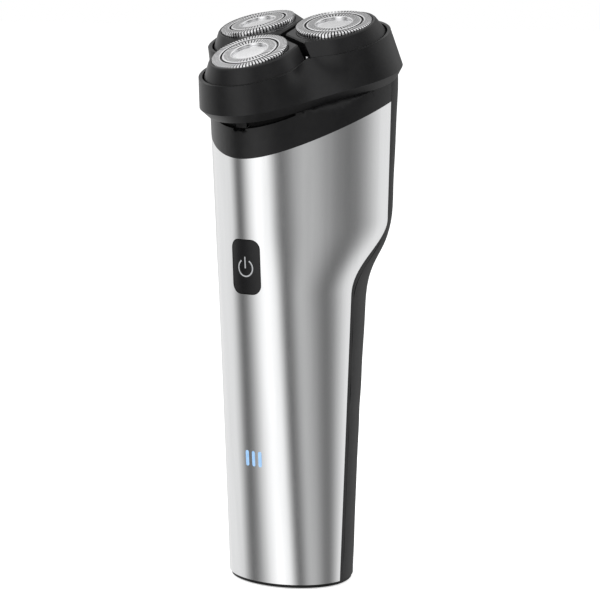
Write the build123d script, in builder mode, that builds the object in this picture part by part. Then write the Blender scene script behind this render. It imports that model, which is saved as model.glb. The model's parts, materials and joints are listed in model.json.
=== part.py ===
"""Rotary electric shaver with three floating shaving heads, front towards -Y, standing on its base."""
import os
from math import acos, cos, pi, radians, sin, tan

from build123d import *

os.makedirs("parts", exist_ok=True)

# Handle outline, seen from above: depths from the centre line, widest along the seam of the two shells
base_front_depth = 16.3
front_lean = 0.066
base_half_width = 18.9
side_flare = 0.0265
shoulder_half_width = 26.9
shoulder_flare = 0.028
base_seam_y = -1.0
seam_drift = 0.0244
shoulder_seam_y = 9.5
base_back_depth = 17.1
back_swell = 5.2
shoulder_back_depth = 22.6
round_fullness = 0.552
front_fullness = 0.465
back_fullness = 0.70

# Handle heights
body_top = 153.0
section_steps = 20
shoulder_low = 84.5
shoulder_high = 106.0
shell_bottom = 1.0
wall = 1.8
fit = 0.15
seam_gap = 0.12

# The steel front ends along this arc, as (y, z)
steel_edge = ((-30.0, 121.0), (-5.7, 133.6), (14.0, 141.0))

# Gear train
tooth_module = 0.75
pinion_teeth = 15
gear_teeth = 25
pressure_angle = 20
backlash = 0.12
addendum = 0.9 * tooth_module
dedendum = 1.2 * tooth_module
drive_radius = tooth_module * (pinion_teeth + gear_teeth) / 2

# Head: its plane leans to the front, and its three holders lean outwards
head_tilt = 19.1
holder_splay = 4.5
head_y = -5.5
head_z = 159.2
hub_drop = 6.6
holder_radius = drive_radius + hub_drop * tan(radians(holder_splay))
head_angles = {"front": -90, "right": 30, "left": 150}

# Levels along the head's axis, from the plane of the guards
holder_top = -1.0
holder_edge = -5.2
rim_top = -4.8
holder_pivot = -7.4
holder_bottom = -9.0
lip_top = -10.3
lip_bottom = -11.0
seat_level = -17.6
seat_tilt = 15.6
chamfer_height = 2.8
deck_top = -17.4
deck_thickness = 2.0
gear_top = -20.2
gear_thickness = 3.4
plate_top = -25.2
plate_thickness = 2.0
motor_length = 22.0

# Head outline: radii of the lobes about the holders
rim_lobe = 15.4
rim_saddle = 17.0
rim_spread = 80
base_steps = 5
widest_lobe = 17.0
parting_lobe = 15.0
groove_depth = 2.7
groove_slope = 35
base_wall = 1.8
inner_lobe = 12.9
holder_lobe = 12.0
holder_flare = 27.5
holder_gap = 2.0
holder_clearance = 0.45
skirt_inset = 0.1
holder_break = 0.35
break_slope = 45
corner_reach = 12.9
corner_radius = 1.0

# Guards and cutters, in each holder's own frame
guard_radius = 10.93
guard_skin = 0.45
guard_height = 3.4
guard_flange = 11.9
guard_flange_thickness = 0.6
track_split = 8.35
groove_width = 0.4
guard_groove = 0.6
centre_radius = 5.1
centre_recess = 0.7
slot_width = 0.5
outer_slots = 40
inner_slots = 28
cutter_gap = 0.3
cutter_plate = 0.9
blade_height = 2.0
blade_thickness = 0.5
outer_blades = 15
inner_blades = 12
hub_radius = 4.0
hub_bottom = -8.0
socket_width = 5.0
socket_depth = 2.4
socket_taper = 18
tip_width = 3.0
tip_top = -6.4
tip_height = 2.6
tip_taper = 10

# Pins, shafts and screws
holder_pin_radius = 0.7
holder_pin_length = 2.7
pin_bite = 1.6
hinge_radius = 1.8
hinge_pin_radius = 0.8
hinge_back = 22.4
knuckle_half = 5.0
knuckle_length = 4.8
knuckle_gap = 0.3
running_clearance = 0.05
axle_radius = 1.0
shaft_radius = 1.0
hub_post_radius = 3.4
hub_post_top = -14.6
stem_radius = 2.2
peg_radius = 1.2
screw_radius = 0.9
screw_head = 1.7
screw_head_height = 1.0

# Controls
button_z = 93.6
button_width = 9.8
button_height = 15.8
button_corner = 2.8
button_clearance = 0.2
button_travel = 0.8
lens_z = 37.75
bar_width = 1.1
bar_height = 4.6
bar_pitch = 2.2
recess_width = 23.0
recess_height = 1.4
recess_depth = 1.2
release_width = 3.6
release_height = 1.5
release_inset = 1.0
release_clearance = 0.3
release_travel = 1.5

# Electrics
motor_radius = 8.5
motor_wall = 0.9
rotor_radius = 6.4
rotor_length = 13.0
battery_radius = 7.0
battery_length = 50.0
battery_bottom = 27.0
battery_y = 6.4
board_width = 13.0
board_thickness = 1.2
board_y = -13.6
board_bottom = 22.0
board_top = 103.0
spine_y = -2.4
spine_thickness = 1.4
spine_width = 22.0
spine_top = 96.0
socket_width_x = 8.9
socket_width_y = 3.2
socket_height = 7.4
socket_y = 5.0
socket_wall = 0.35
tongue_thickness = 0.7
port_clearance = 0.2
foot_inset = 0.5
foot_height = 4.0
foot_well = 11.2
foot_screw_x = 13.8
foot_plate = 2.0
shelf_thickness = 1.5
shelf_width = 12.0
tab_thickness = 0.3
tab_width = 6.0
standoff_radius = 1.6
standoff_peg = 0.8
standoff_x = 4.2
standoff_end = 6.0

# Sizes that follow from those above
frame_hole = hub_radius + 2.8
holder_grow = (holder_top - holder_break - holder_edge) * tan(radians(holder_flare))
pin_start = holder_lobe + holder_grow - pin_bite
outer_slot_reach = guard_radius - track_split - 0.6
inner_slot_length = track_split - centre_radius - 1.2
blade_root = -guard_skin - cutter_gap - blade_height
cutter_radius = guard_radius - guard_skin - cutter_gap
outer_blade_radius = (track_split + guard_radius) / 2
inner_blade_radius = (centre_radius + track_split) / 2
blade_length = 1.2
peg_length = 2.4
axle_top = -18.0
axle_end_gap = 0.2
drive_hole_gap = 0.2
post_radius = shoulder_half_width - 8.4
post_back_radius = 16.0
post_size = 2.0
deck_screw_length = 6.0
release_back = -22.5
button_flange_drop = 3.05
button_flange_grow = 0.9
button_flange_thickness = 1.0
button_stem_radius = 1.6
button_stem_end = 4.35
button_recess = 0.1
plunger_gap = 0.1
switch_size = 6.0
switch_height = 2.2
plunger_radius = 1.5
led_width = 3.0
led_height = 1.0
lens_drop = 2.25
lens_plate = 1.0
lens_margin = 1.0
lens_recess = 0.05
rotor_drop = 3.0
shaft_top_gap = 0.4
end_cap_thickness = 1.6
end_cap_spigot = 1.0
motor_screw_radius = 5.0
seal_thickness = 1.0
seal_width = 1.5
axle_boss = 0.8
spine_foot = 3.2
socket_bottom = 0.3

stem_depth = base_front_depth + front_lean * button_z - button_stem_end
plunger_height = stem_depth - button_travel - plunger_gap + board_y - switch_height

# Planes of the head and of its three stations
head = Plane(
    origin=(0, head_y, head_z),
    x_dir=(1, 0, 0),
    z_dir=(0, -sin(radians(head_tilt)), cos(radians(head_tilt))),
)
far = 130.0


def leaning(level, tilt):
    """A plane across the head's axis at a level, with a tilt of its own."""
    middle = head.origin + head.z_dir * level
    return Plane(middle, x_dir=(1, 0, 0), z_dir=(0, -sin(radians(tilt)), cos(radians(tilt))))


# The handle ends and the head sits on this plane, which leans less than the head
seat = leaning(seat_level, seat_tilt)


def station(angle, radius, lean=0.0):
    """The head's plane moved out to a radius, with x away from the head's axis and leaning outwards."""
    out = head.x_dir * cos(radians(angle)) + head.y_dir * sin(radians(angle))
    up = head.z_dir
    return Plane(
        head.origin + out * radius,
        x_dir=out * cos(radians(lean)) - up * sin(radians(lean)),
        z_dir=up * cos(radians(lean)) + out * sin(radians(lean)),
    )


holder_planes = {n: station(a, holder_radius, holder_splay) for n, a in head_angles.items()}
drive_planes = {n: station(a, drive_radius) for n, a in head_angles.items()}


def pivot_plane(angle):
    """The plane square to a holder's rocking axis, through the middle of the holder."""
    foot = station(angle, holder_radius)
    return Plane(foot.offset(holder_pivot).origin, x_dir=foot.x_dir, z_dir=foot.y_dir)


def profile_of(plane):
    """The plane through an axis on which a turned piece is drawn: x out from the axis, y along it."""
    return Plane(plane.origin, x_dir=plane.x_dir, z_dir=-plane.y_dir)


def axis_of(plane):
    """The axis of a turned piece."""
    return Axis(plane.origin, plane.z_dir)


def ramp(z, low, high):
    """Smooth rise from 0 at low to 1 at high."""
    t = min(max((z - low) / (high - low), 0), 1)
    return t * t * (3 - 2 * t)


def between(low, high, share):
    """The value at a share of the way from low to high."""
    return low + (high - low) * share


def handle_section(z, inset=0.0, front=True, back=True):
    """The handle's outline at a height: quarter curves that meet along the seam of the shells."""
    rise = ramp(z, shoulder_low, shoulder_high)
    swell = ramp(z, shoulder_low, body_top)
    ahead = base_front_depth + front_lean * z - inset
    shoulder = shoulder_half_width + shoulder_flare * (z - shoulder_high)
    side = between(base_half_width + side_flare * z, shoulder, rise) - inset
    seam = between(base_seam_y + seam_drift * z, shoulder_seam_y, rise)
    if not front:
        seam += seam_gap
    behind = base_back_depth + back_swell * min(z / shoulder_low, 1) ** 2
    behind = between(behind, shoulder_back_depth, swell) - inset
    ahead_pull = between(round_fullness, front_fullness, rise)
    behind_pull = between(round_fullness, back_fullness, swell)
    with BuildSketch(Plane.XY.offset(z)) as section:
        with BuildLine():
            if front:
                Bezier(
                    (0, -ahead),
                    (ahead_pull * side, -ahead),
                    (side, seam - ahead_pull * (seam + ahead)),
                    (side, seam),
                )
            else:
                Line((0, seam), (side, seam))
            if back:
                Bezier(
                    (side, seam),
                    (side, seam + behind_pull * (behind - seam)),
                    (behind_pull * side, behind),
                    (0, behind),
                )
            else:
                Line((side, seam), (0, seam))
            mirror(about=Plane.YZ)
        make_face()
    return section.sketch.face()


def handle_sections(inset=0.0, front=True, back=True):
    """Evenly spaced outlines from the base to above the head's parting plane."""
    heights = [body_top * i / section_steps for i in range(section_steps + 1)]
    return [handle_section(z, inset, front, back) for z in heights]


def front_plane(z):
    """The plane that touches the middle of the front face at a height."""
    return Plane((0, -base_front_depth - front_lean * z, z), x_dir=(1, 0, 0), z_dir=(0, -1, -front_lean))


def lobes(plane, radius, saddle=None, spread=60):
    """A three-lobed outline: arcs about the holders, joined by smooth sides at the saddle's distance."""
    if saddle is None:
        saddle = holder_radius * cos(radians(60)) + radius
    points = []
    for angle in head_angles.values():
        for turn in (-1, -0.5, 0, 0.5, 1):
            bearing = radians(angle + spread * turn)
            points.append((
                holder_radius * cos(radians(angle)) + radius * cos(bearing),
                holder_radius * sin(radians(angle)) + radius * sin(bearing),
            ))
        points.append((saddle * cos(radians(angle + 60)), saddle * sin(radians(angle + 60))))
    with BuildSketch(plane) as face:
        with BuildLine():
            Spline(*points, periodic=True)
        make_face()
    return face.sketch.face()


def disc(plane, radius):
    """A round face on a plane."""
    with BuildSketch(plane) as face:
        Circle(radius)
    return face.sketch.face()


def slab(plane):
    """A wide face on a plane, for cutting."""
    with BuildSketch(plane) as face:
        Rectangle(far, far)
    return face.sketch.face()


def holder_outline(angle, level, grow=0.0):
    """One holder's outline across the head: a circle drawn out to its corners beside the gaps."""
    edge = holder_gap / 2 + corner_radius
    with BuildSketch(station(angle, 0).offset(level)) as face:
        with Locations((holder_radius, 0)):
            Circle(holder_lobe + grow)
        for side in (-1, 1):
            along = radians(60 * side)
            across = radians(60 * side - 90 * side)
            corner = (
                corner_reach * cos(along) + edge * cos(across),
                corner_reach * sin(along) + edge * sin(across),
            )
            with Locations(corner):
                Circle(corner_radius + grow)
        with Locations((edge / sin(radians(60)), 0)):
            Circle(corner_radius + grow)
        make_hull()
    return face.sketch.face()


def holder_sector(angle, level):
    """The third of the head that one holder keeps to, with half a gap left on each side."""
    start = holder_gap / 2 / sin(radians(60))
    with BuildSketch(station(angle, 0).offset(level)) as face:
        with BuildLine():
            Polyline(
                (start, 0),
                (start + far * cos(radians(60)), far * sin(radians(60))),
                (start + far * cos(radians(60)), -far * sin(radians(60))),
                close=True,
            )
        make_face()
    return face.sketch.face()


def tooth_half_angle(radius, teeth):
    """Half of a tooth's width at a radius, as an angle, for an involute tooth."""
    pitch = tooth_module * teeth / 2
    base = pitch * cos(radians(pressure_angle))
    spread = acos(min(base / radius, 1))
    at_pitch = tan(radians(pressure_angle)) - radians(pressure_angle)
    return pi / (2 * teeth) - backlash / (2 * pitch) + at_pitch - (tan(spread) - spread)


def gear_face(plane, teeth):
    """A spur gear's outline, with one tooth centred on the plane's x."""
    pitch = tooth_module * teeth / 2
    root = pitch - dedendum
    tip = pitch + addendum
    flank = []
    for radius in (root - dedendum / 2, pitch - addendum, pitch, tip):
        half = tooth_half_angle(radius, teeth)
        flank.append((radius * cos(half), radius * sin(half)))
    outline = flank + [(x, -y) for x, y in reversed(flank)]
    with BuildSketch(plane) as face:
        Circle(root)
        with PolarLocations(0, teeth):
            Polygon(*outline, align=None)
    return face.sketch.face()


# Groove all round between the handle and the head, cut from the handle's top edge
with BuildPart() as groove:
    extrude(slab(seat), amount=-groove_depth)
    extrude(
        lobes(seat, parting_lobe),
        amount=groove_depth,
        dir=-seat.z_dir,
        taper=-groove_slope,
        mode=Mode.SUBTRACT,
    )

# Everything above the arc that ends the steel
with BuildPart() as above_steel:
    with BuildSketch(Plane.YZ):
        with BuildLine():
            edge = ThreePointArc(*steel_edge)
            Polyline(edge @ 1, (edge @ 1 + (0, far)), (edge @ 0 + (0, far)), edge @ 0)
        make_face()
    extrude(amount=far, both=True)

# Hinge axis at the back, in the groove between the handle and the head
hinge = Plane(seat.from_local_coords((0, hinge_back, 0)), x_dir=(0, 1, 0), z_dir=(1, 0, 0))

# Steel front shell, with the button's window and three slots for the charge bars
button_plane = front_plane(button_z)
lens_plane = front_plane(lens_z)
with BuildPart() as front_shell:
    loft(handle_sections(back=False))
    loft(handle_sections(inset=wall), mode=Mode.SUBTRACT)
    add(above_steel.part, mode=Mode.SUBTRACT)
    with BuildSketch():
        Rectangle(far, far)
    extrude(amount=shell_bottom, mode=Mode.SUBTRACT)
    with BuildSketch(button_plane):
        RectangleRounded(button_width, button_height, button_corner)
    extrude(amount=far, both=True, mode=Mode.SUBTRACT)
    with BuildSketch(lens_plane):
        with GridLocations(bar_pitch, 1, 3, 1):
            SlotCenterToCenter(bar_height - bar_width, bar_width, rotation=90)
    extrude(amount=far, both=True, mode=Mode.SUBTRACT)
front_shell.part.label = "front_shell"
export_step(front_shell.part, "parts/front_shell.step")

# Dark rear shell, up to the head, with two hinge knuckles at its top
with BuildPart() as rear_shell:
    loft(handle_sections(front=False))
    loft(handle_sections(inset=wall), mode=Mode.SUBTRACT)
    extrude(slab(seat), amount=far, mode=Mode.SUBTRACT)
    add(groove.part, mode=Mode.SUBTRACT)
    with BuildSketch():
        Rectangle(far, far)
    extrude(amount=shell_bottom, mode=Mode.SUBTRACT)
    with BuildSketch(hinge):
        Circle(hinge_radius + knuckle_gap)
    extrude(amount=knuckle_half + knuckle_gap, both=True, mode=Mode.SUBTRACT)
    for side in (-1, 1):
        with BuildSketch(hinge.offset(side * (knuckle_half + knuckle_gap))):
            Circle(hinge_radius)
        extrude(amount=side * knuckle_length)
    with BuildSketch(hinge):
        Circle(hinge_pin_radius)
    extrude(amount=far, both=True, mode=Mode.SUBTRACT)
rear_shell.part.label = "rear_shell"
export_step(rear_shell.part, "parts/rear_shell.step")

# Finger groove across the front of the collar
with BuildPart() as recess:
    with BuildSketch(seat):
        with Locations((0, -far / 2)):
            Rectangle(recess_width, far)
    extrude(amount=-recess_height)
    loft(handle_sections(inset=recess_depth), mode=Mode.SUBTRACT)

# Black collar over the steel, with the finger groove and a notch for the release button
with BuildPart() as collar:
    loft(handle_sections(back=False))
    loft(handle_sections(inset=wall), mode=Mode.SUBTRACT)
    add(above_steel.part, mode=Mode.INTERSECT)
    extrude(slab(seat), amount=far, mode=Mode.SUBTRACT)
    add(groove.part, mode=Mode.SUBTRACT)
    add(recess.part, mode=Mode.SUBTRACT)
    with BuildSketch(seat):
        with Locations((0, -far / 2)):
            Rectangle(release_width + 2 * release_clearance, far)
    extrude(amount=-(recess_height + release_height + release_clearance), mode=Mode.SUBTRACT)
collar.part.label = "collar"
export_step(collar.part, "parts/collar.step")

# Foot that closes the handle, with the charging port's slot and two screw holes
with BuildPart() as base_cap:
    extrude(handle_section(0, inset=foot_inset), amount=shell_bottom)
    extrude(handle_section(0, inset=wall + 2 * fit), amount=foot_height)
    with BuildSketch(Plane.XY.offset(shell_bottom)):
        Circle(foot_well)
    extrude(amount=foot_height, mode=Mode.SUBTRACT)
    with BuildSketch():
        with Locations((0, socket_y)):
            SlotOverall(socket_width_x + 2 * port_clearance, socket_width_y + 2 * port_clearance)
        with GridLocations(2 * foot_screw_x, 1, 2, 1):
            Circle(screw_radius)
    extrude(amount=foot_height, mode=Mode.SUBTRACT)
    with BuildSketch():
        with GridLocations(2 * foot_screw_x, 1, 2, 1):
            Circle(screw_head + fit)
    extrude(amount=screw_head_height + fit, mode=Mode.SUBTRACT)
base_cap.part.label = "base_cap"
export_step(base_cap.part, "parts/base_cap.step")

# Head housing: a rounded triangle at its widest, three lobes at the rim, a hollow underside
widest_saddle = holder_radius * cos(radians(60)) + widest_lobe
base_faces = []
for step in range(base_steps):
    share = step / (base_steps - 1)
    base_faces.append(lobes(
        leaning(between(seat_level + chamfer_height, rim_top, share), between(seat_tilt, head_tilt, share)),
        between(widest_lobe, rim_lobe, share),
        between(widest_saddle, rim_saddle, share),
        between(60, rim_spread, share),
    ))
with BuildPart() as head_base:
    loft(base_faces)
    loft([lobes(seat, parting_lobe), base_faces[0]], ruled=True)
    for angle in head_angles.values():
        extrude(
            holder_outline(angle, rim_top, holder_grow + holder_clearance),
            amount=rim_top - lip_top,
            dir=-head.z_dir,
            mode=Mode.SUBTRACT,
        )
    with BuildSketch(head.offset(rim_top)):
        Circle(corner_reach)
    extrude(amount=lip_top - rim_top, mode=Mode.SUBTRACT)
    mouth = lobes(head.offset(lip_top), inner_lobe - base_wall)
    extrude(mouth, amount=far, dir=-head.z_dir, mode=Mode.SUBTRACT)
    hollow = lobes(head.offset(lip_bottom), inner_lobe)
    extrude(hollow, amount=far, dir=-head.z_dir, mode=Mode.SUBTRACT)
    for side in (-1, 1):
        with BuildSketch(hinge.offset(side * knuckle_half)):
            Circle(hinge_radius + knuckle_gap)
        extrude(amount=side * (knuckle_length + 2 * knuckle_gap), mode=Mode.SUBTRACT)
    with BuildSketch(hinge):
        Circle(hinge_radius)
    extrude(amount=knuckle_half, both=True)
    with BuildSketch(hinge):
        Circle(hinge_pin_radius + running_clearance)
    extrude(amount=knuckle_half, both=True, mode=Mode.SUBTRACT)
    for angle in head_angles.values():
        extrude(
            disc(pivot_plane(angle), holder_pin_radius),
            amount=pin_start + holder_pin_length,
            both=True,
            mode=Mode.SUBTRACT,
        )
head_base.part.label = "head_base"
export_step(head_base.part, "parts/head_base.step")

# Plate under the lip of the housing that keeps the cutters in the head
frame_thickness = 1.5
with BuildPart() as head_frame:
    outline = lobes(head.offset(lip_bottom), inner_lobe - fit)
    extrude(outline, amount=frame_thickness, dir=-head.z_dir)
    for name, plane in holder_planes.items():
        extrude(
            disc(station(head_angles[name], drive_radius).offset(lip_bottom), frame_hole),
            amount=-far / 2,
            mode=Mode.SUBTRACT,
        )
head_frame.part.label = "head_frame"
export_step(head_frame.part, "parts/head_frame.step")

# Stub pins on which the holders rock, two to each holder, set in the housing
with BuildPart() as holder_pins:
    for angle in head_angles.values():
        pivot = pivot_plane(angle)
        for side in (-1, 1):
            extrude(disc(pivot.offset(side * pin_start), holder_pin_radius), amount=side * holder_pin_length)
holder_pins.part.label = "holder_pins"
export_step(holder_pins.part, "parts/holder_pins.step")

# Pin through the hinge's knuckles
with BuildPart() as hinge_pin:
    extrude(disc(hinge, hinge_pin_radius), amount=knuckle_half + knuckle_gap + knuckle_length, both=True)
hinge_pin.part.label = "hinge_pin"
export_step(hinge_pin.part, "parts/hinge_pin.step")

# The three floating holders, guards and cutters, and the drive under each
shoulder = -guard_height + guard_flange_thickness
for name, angle in head_angles.items():
    plane = holder_planes[name]
    drive = drive_planes[name]

    with BuildPart() as holder:
        extrude(
            holder_outline(angle, holder_top, -holder_break),
            amount=holder_break,
            dir=-head.z_dir,
            taper=-break_slope,
        )
        extrude(
            holder_outline(angle, holder_top - holder_break),
            amount=holder_top - holder_break - holder_edge,
            dir=-head.z_dir,
            taper=-holder_flare,
        )
        extrude(
            holder_outline(angle, holder_edge, holder_grow - skirt_inset),
            amount=holder_edge - holder_bottom,
            dir=-head.z_dir,
        )
        extrude(holder_sector(angle, 0), amount=-far / 2, mode=Mode.INTERSECT)
        extrude(disc(plane, guard_radius + fit), amount=far / 2, both=True, mode=Mode.SUBTRACT)
        extrude(disc(plane.offset(shoulder), guard_flange + fit), amount=-far / 2, mode=Mode.SUBTRACT)
        pivot = pivot_plane(angle)
        extrude(disc(pivot, holder_pin_radius + running_clearance), amount=far / 2, both=True, mode=Mode.SUBTRACT)
    holder.part.label = f"holder_{name}"
    export_step(holder.part, f"parts/holder_{name}.step")

    with BuildPart(plane) as guard:
        with BuildSketch(profile_of(plane)):
            with BuildLine():
                Polyline(
                    (0, -centre_recess),
                    (centre_radius, -centre_recess),
                    (centre_radius, 0),
                    (track_split - groove_width / 2, 0),
                    (track_split - groove_width / 2, -guard_groove),
                    (track_split + groove_width / 2, -guard_groove),
                    (track_split + groove_width / 2, 0),
                    (guard_radius, 0),
                    (guard_radius, shoulder),
                    (guard_flange, shoulder),
                    (guard_flange, -guard_height),
                    (guard_radius - guard_skin, -guard_height),
                    (guard_radius - guard_skin, -guard_skin),
                    (track_split + groove_width / 2 + guard_skin, -guard_skin),
                    (track_split + groove_width / 2 + guard_skin, -guard_groove - guard_skin),
                    (track_split - groove_width / 2 - guard_skin, -guard_groove - guard_skin),
                    (track_split - groove_width / 2 - guard_skin, -guard_skin),
                    (centre_radius + guard_skin, -guard_skin),
                    (centre_radius + guard_skin, -centre_recess - guard_skin),
                    (0, -centre_recess - guard_skin),
                    close=True,
                )
            make_face()
        revolve(axis=axis_of(plane))
        with PolarLocations(guard_radius, outer_slots):
            Box(2 * outer_slot_reach, slot_width, 4 * guard_skin, mode=Mode.SUBTRACT)
        with PolarLocations((centre_radius + track_split) / 2, inner_slots):
            Box(inner_slot_length, slot_width, 4 * guard_skin, mode=Mode.SUBTRACT)
    guard.part.label = f"guard_{name}"
    export_step(guard.part, f"parts/guard_{name}.step")

    with BuildPart(plane) as cutter:
        extrude(disc(plane.offset(blade_root), cutter_radius), amount=-cutter_plate)
        extrude(disc(plane.offset(blade_root), hub_radius), amount=hub_bottom - blade_root)
        with BuildSketch(plane.offset(blade_root)):
            with PolarLocations(outer_blade_radius, outer_blades):
                Rectangle(blade_length, blade_thickness)
            with PolarLocations(inner_blade_radius, inner_blades):
                Rectangle(blade_length, blade_thickness)
        extrude(amount=blade_height)
        with BuildSketch(plane.offset(hub_bottom)):
            Rectangle(socket_width, socket_width)
        extrude(amount=socket_depth, taper=socket_taper, mode=Mode.SUBTRACT)
    cutter.part.label = f"cutter_{name}"
    export_step(cutter.part, f"parts/cutter_{name}.step")

    with BuildPart() as drive_gear:
        extrude(gear_face(drive.offset(gear_top), gear_teeth), amount=-gear_thickness, dir=head.z_dir)
        extrude(disc(drive.offset(gear_top), hub_post_radius), amount=hub_post_top - gear_top)
        extrude(disc(drive.offset(hub_post_top), peg_radius + fit / 2), amount=-peg_length, mode=Mode.SUBTRACT)
        extrude(
            disc(drive.offset(gear_top - gear_thickness), axle_radius + running_clearance),
            amount=axle_top - gear_top + gear_thickness + axle_end_gap,
            mode=Mode.SUBTRACT,
        )
    drive_gear.part.label = f"drive_gear_{name}"
    export_step(drive_gear.part, f"parts/drive_gear_{name}.step")

    with BuildPart() as coupler:
        extrude(disc(drive.offset(hub_post_top), stem_radius), amount=tip_top - tip_height - hub_post_top)
        extrude(disc(drive.offset(hub_post_top), peg_radius), amount=-peg_length + fit)
        with BuildSketch(drive.offset(tip_top - tip_height)):
            Rectangle(tip_width, tip_width)
        extrude(amount=tip_height, taper=tip_taper)
    coupler.part.label = f"coupler_{name}"
    export_step(coupler.part, f"parts/coupler_{name}.step")

# Screw posts between the gear plate and the deck
posts = [station(-30, post_radius), station(210, post_radius), station(90, post_back_radius)]

# Room above the seat for the wall of the head's housing
with BuildPart() as wall_room:
    extrude(slab(seat.offset(-fit)), amount=far)
    middle = lobes(seat.offset(-fit), inner_lobe - holder_clearance)
    extrude(middle, amount=far, dir=seat.z_dir, mode=Mode.SUBTRACT)

# Bulkhead that closes the handle under the head, with a hole for each drive
with BuildPart() as drive_deck:
    loft(handle_sections(inset=wall + fit))
    extrude(slab(head.offset(deck_top)), amount=far, mode=Mode.SUBTRACT)
    extrude(slab(head.offset(deck_top - deck_thickness)), amount=-2 * far, mode=Mode.SUBTRACT)
    add(wall_room.part, mode=Mode.SUBTRACT)
    for plane in drive_planes.values():
        extrude(disc(plane, hub_post_radius + drive_hole_gap), amount=far, both=True, mode=Mode.SUBTRACT)
    for plane in posts:
        extrude(disc(plane, screw_radius + fit), amount=far, both=True, mode=Mode.SUBTRACT)
    with BuildSketch(head.offset(deck_top)):
        with Locations((0, release_back + release_travel + 2 * release_clearance - far / 2)):
            Rectangle(release_width + 2 * release_clearance, far)
        with Locations((0, hinge_back - hinge_radius - 2 * knuckle_gap + far / 2)):
            Rectangle(far, far)
    extrude(amount=-deck_thickness, mode=Mode.SUBTRACT)
drive_deck.part.label = "drive_deck"
export_step(drive_deck.part, "parts/drive_deck.step")

# Plate under the gears that carries their axles, the motor and the deck
with BuildPart() as gear_plate:
    loft(handle_sections(inset=wall + fit))
    extrude(slab(head.offset(plate_top)), amount=far, mode=Mode.SUBTRACT)
    extrude(slab(head.offset(plate_top - plate_thickness)), amount=-2 * far, mode=Mode.SUBTRACT)
    for plane in posts:
        extrude(disc(plane.offset(plate_top), post_size), amount=deck_top - deck_thickness - plate_top)
        extrude(disc(plane.offset(deck_top), screw_radius), amount=-deck_screw_length, mode=Mode.SUBTRACT)
    for plane in drive_planes.values():
        extrude(
            disc(plane.offset(plate_top), axle_radius + axle_boss),
            amount=gear_top - gear_thickness - knuckle_gap - plate_top,
        )
        extrude(disc(plane, axle_radius), amount=far, both=True, mode=Mode.SUBTRACT)
    extrude(disc(head, 2 * shaft_radius), amount=far, both=True, mode=Mode.SUBTRACT)
    for side in (0, 180):
        extrude(
            disc(station(side, motor_screw_radius), screw_radius),
            amount=far,
            both=True,
            mode=Mode.SUBTRACT,
        )
gear_plate.part.label = "gear_plate"
export_step(gear_plate.part, "parts/gear_plate.step")

# Screws that hold the deck on the plate's posts
with BuildPart() as deck_screws:
    for plane in posts:
        extrude(disc(plane.offset(deck_top), screw_head), amount=screw_head_height)
        extrude(disc(plane.offset(deck_top), screw_radius), amount=-deck_screw_length + fit)
deck_screws.part.label = "deck_screws"
export_step(deck_screws.part, "parts/deck_screws.step")

# Fixed axles of the three drive gears
with BuildPart() as gear_axles:
    for plane in drive_planes.values():
        extrude(
            disc(plane.offset(plate_top - plate_thickness), axle_radius),
            amount=axle_top - plate_top + plate_thickness,
        )
gear_axles.part.label = "gear_axles"
export_step(gear_axles.part, "parts/gear_axles.step")

# Rubber rings that close the deck round the drives
with BuildPart() as spindle_seals:
    for plane in drive_planes.values():
        with BuildSketch(plane.offset(deck_top)):
            Circle(hub_post_radius + 2 * running_clearance + seal_width)
            Circle(hub_post_radius + 2 * running_clearance, mode=Mode.SUBTRACT)
        extrude(amount=seal_thickness)
spindle_seals.part.label = "spindle_seals"
export_step(spindle_seals.part, "parts/spindle_seals.step")

# Motor under the gear plate, on the head's axis
motor_top = plate_top - plate_thickness
motor_end = motor_top - motor_length
with BuildPart() as motor_can:
    extrude(disc(head.offset(motor_top), motor_radius), amount=-motor_length)
    bore = disc(head.offset(motor_end), motor_radius - motor_wall)
    extrude(bore, amount=motor_length - motor_wall, mode=Mode.SUBTRACT)
    extrude(disc(head, shaft_radius + running_clearance), amount=far, both=True, mode=Mode.SUBTRACT)
    for side in (0, 180):
        extrude(
            disc(station(side, motor_screw_radius), screw_radius),
            amount=far,
            both=True,
            mode=Mode.SUBTRACT,
        )
motor_can.part.label = "motor_can"
export_step(motor_can.part, "parts/motor_can.step")

with BuildPart() as motor_end_cap:
    extrude(disc(head.offset(motor_end), motor_radius), amount=-end_cap_thickness)
    extrude(disc(head.offset(motor_end), motor_radius - motor_wall), amount=end_cap_spigot)
    extrude(
        disc(head.offset(motor_end + end_cap_spigot), shaft_radius + running_clearance),
        amount=-end_cap_thickness,
        mode=Mode.SUBTRACT,
    )
motor_end_cap.part.label = "motor_end_cap"
export_step(motor_end_cap.part, "parts/motor_end_cap.step")

with BuildPart() as motor_screws:
    for side in (0, 180):
        foot = station(side, motor_screw_radius)
        extrude(disc(foot.offset(plate_top), screw_head), amount=screw_head_height)
        extrude(disc(foot.offset(plate_top), screw_radius), amount=-plate_thickness - motor_wall)
motor_screws.part.label = "motor_screws"
export_step(motor_screws.part, "parts/motor_screws.step")

with BuildPart() as motor_shaft:
    extrude(
        disc(head.offset(motor_end + fit), shaft_radius),
        amount=gear_top + shaft_top_gap - motor_end - fit,
    )
motor_shaft.part.label = "motor_shaft"
export_step(motor_shaft.part, "parts/motor_shaft.step")

with BuildPart() as rotor:
    extrude(disc(head.offset(motor_top - rotor_drop), rotor_radius), amount=-rotor_length)
    extrude(disc(head, shaft_radius), amount=far, both=True, mode=Mode.SUBTRACT)
rotor.part.label = "rotor"
export_step(rotor.part, "parts/rotor.step")

# Pinion on the motor's shaft, in mesh with all three drive gears
with BuildPart() as pinion:
    extrude(gear_face(station(-90, 0).offset(gear_top), pinion_teeth), amount=-gear_thickness, dir=head.z_dir)
    extrude(disc(head, shaft_radius), amount=far, both=True, mode=Mode.SUBTRACT)
pinion.part.label = "pinion"
export_step(pinion.part, "parts/pinion.step")

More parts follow.
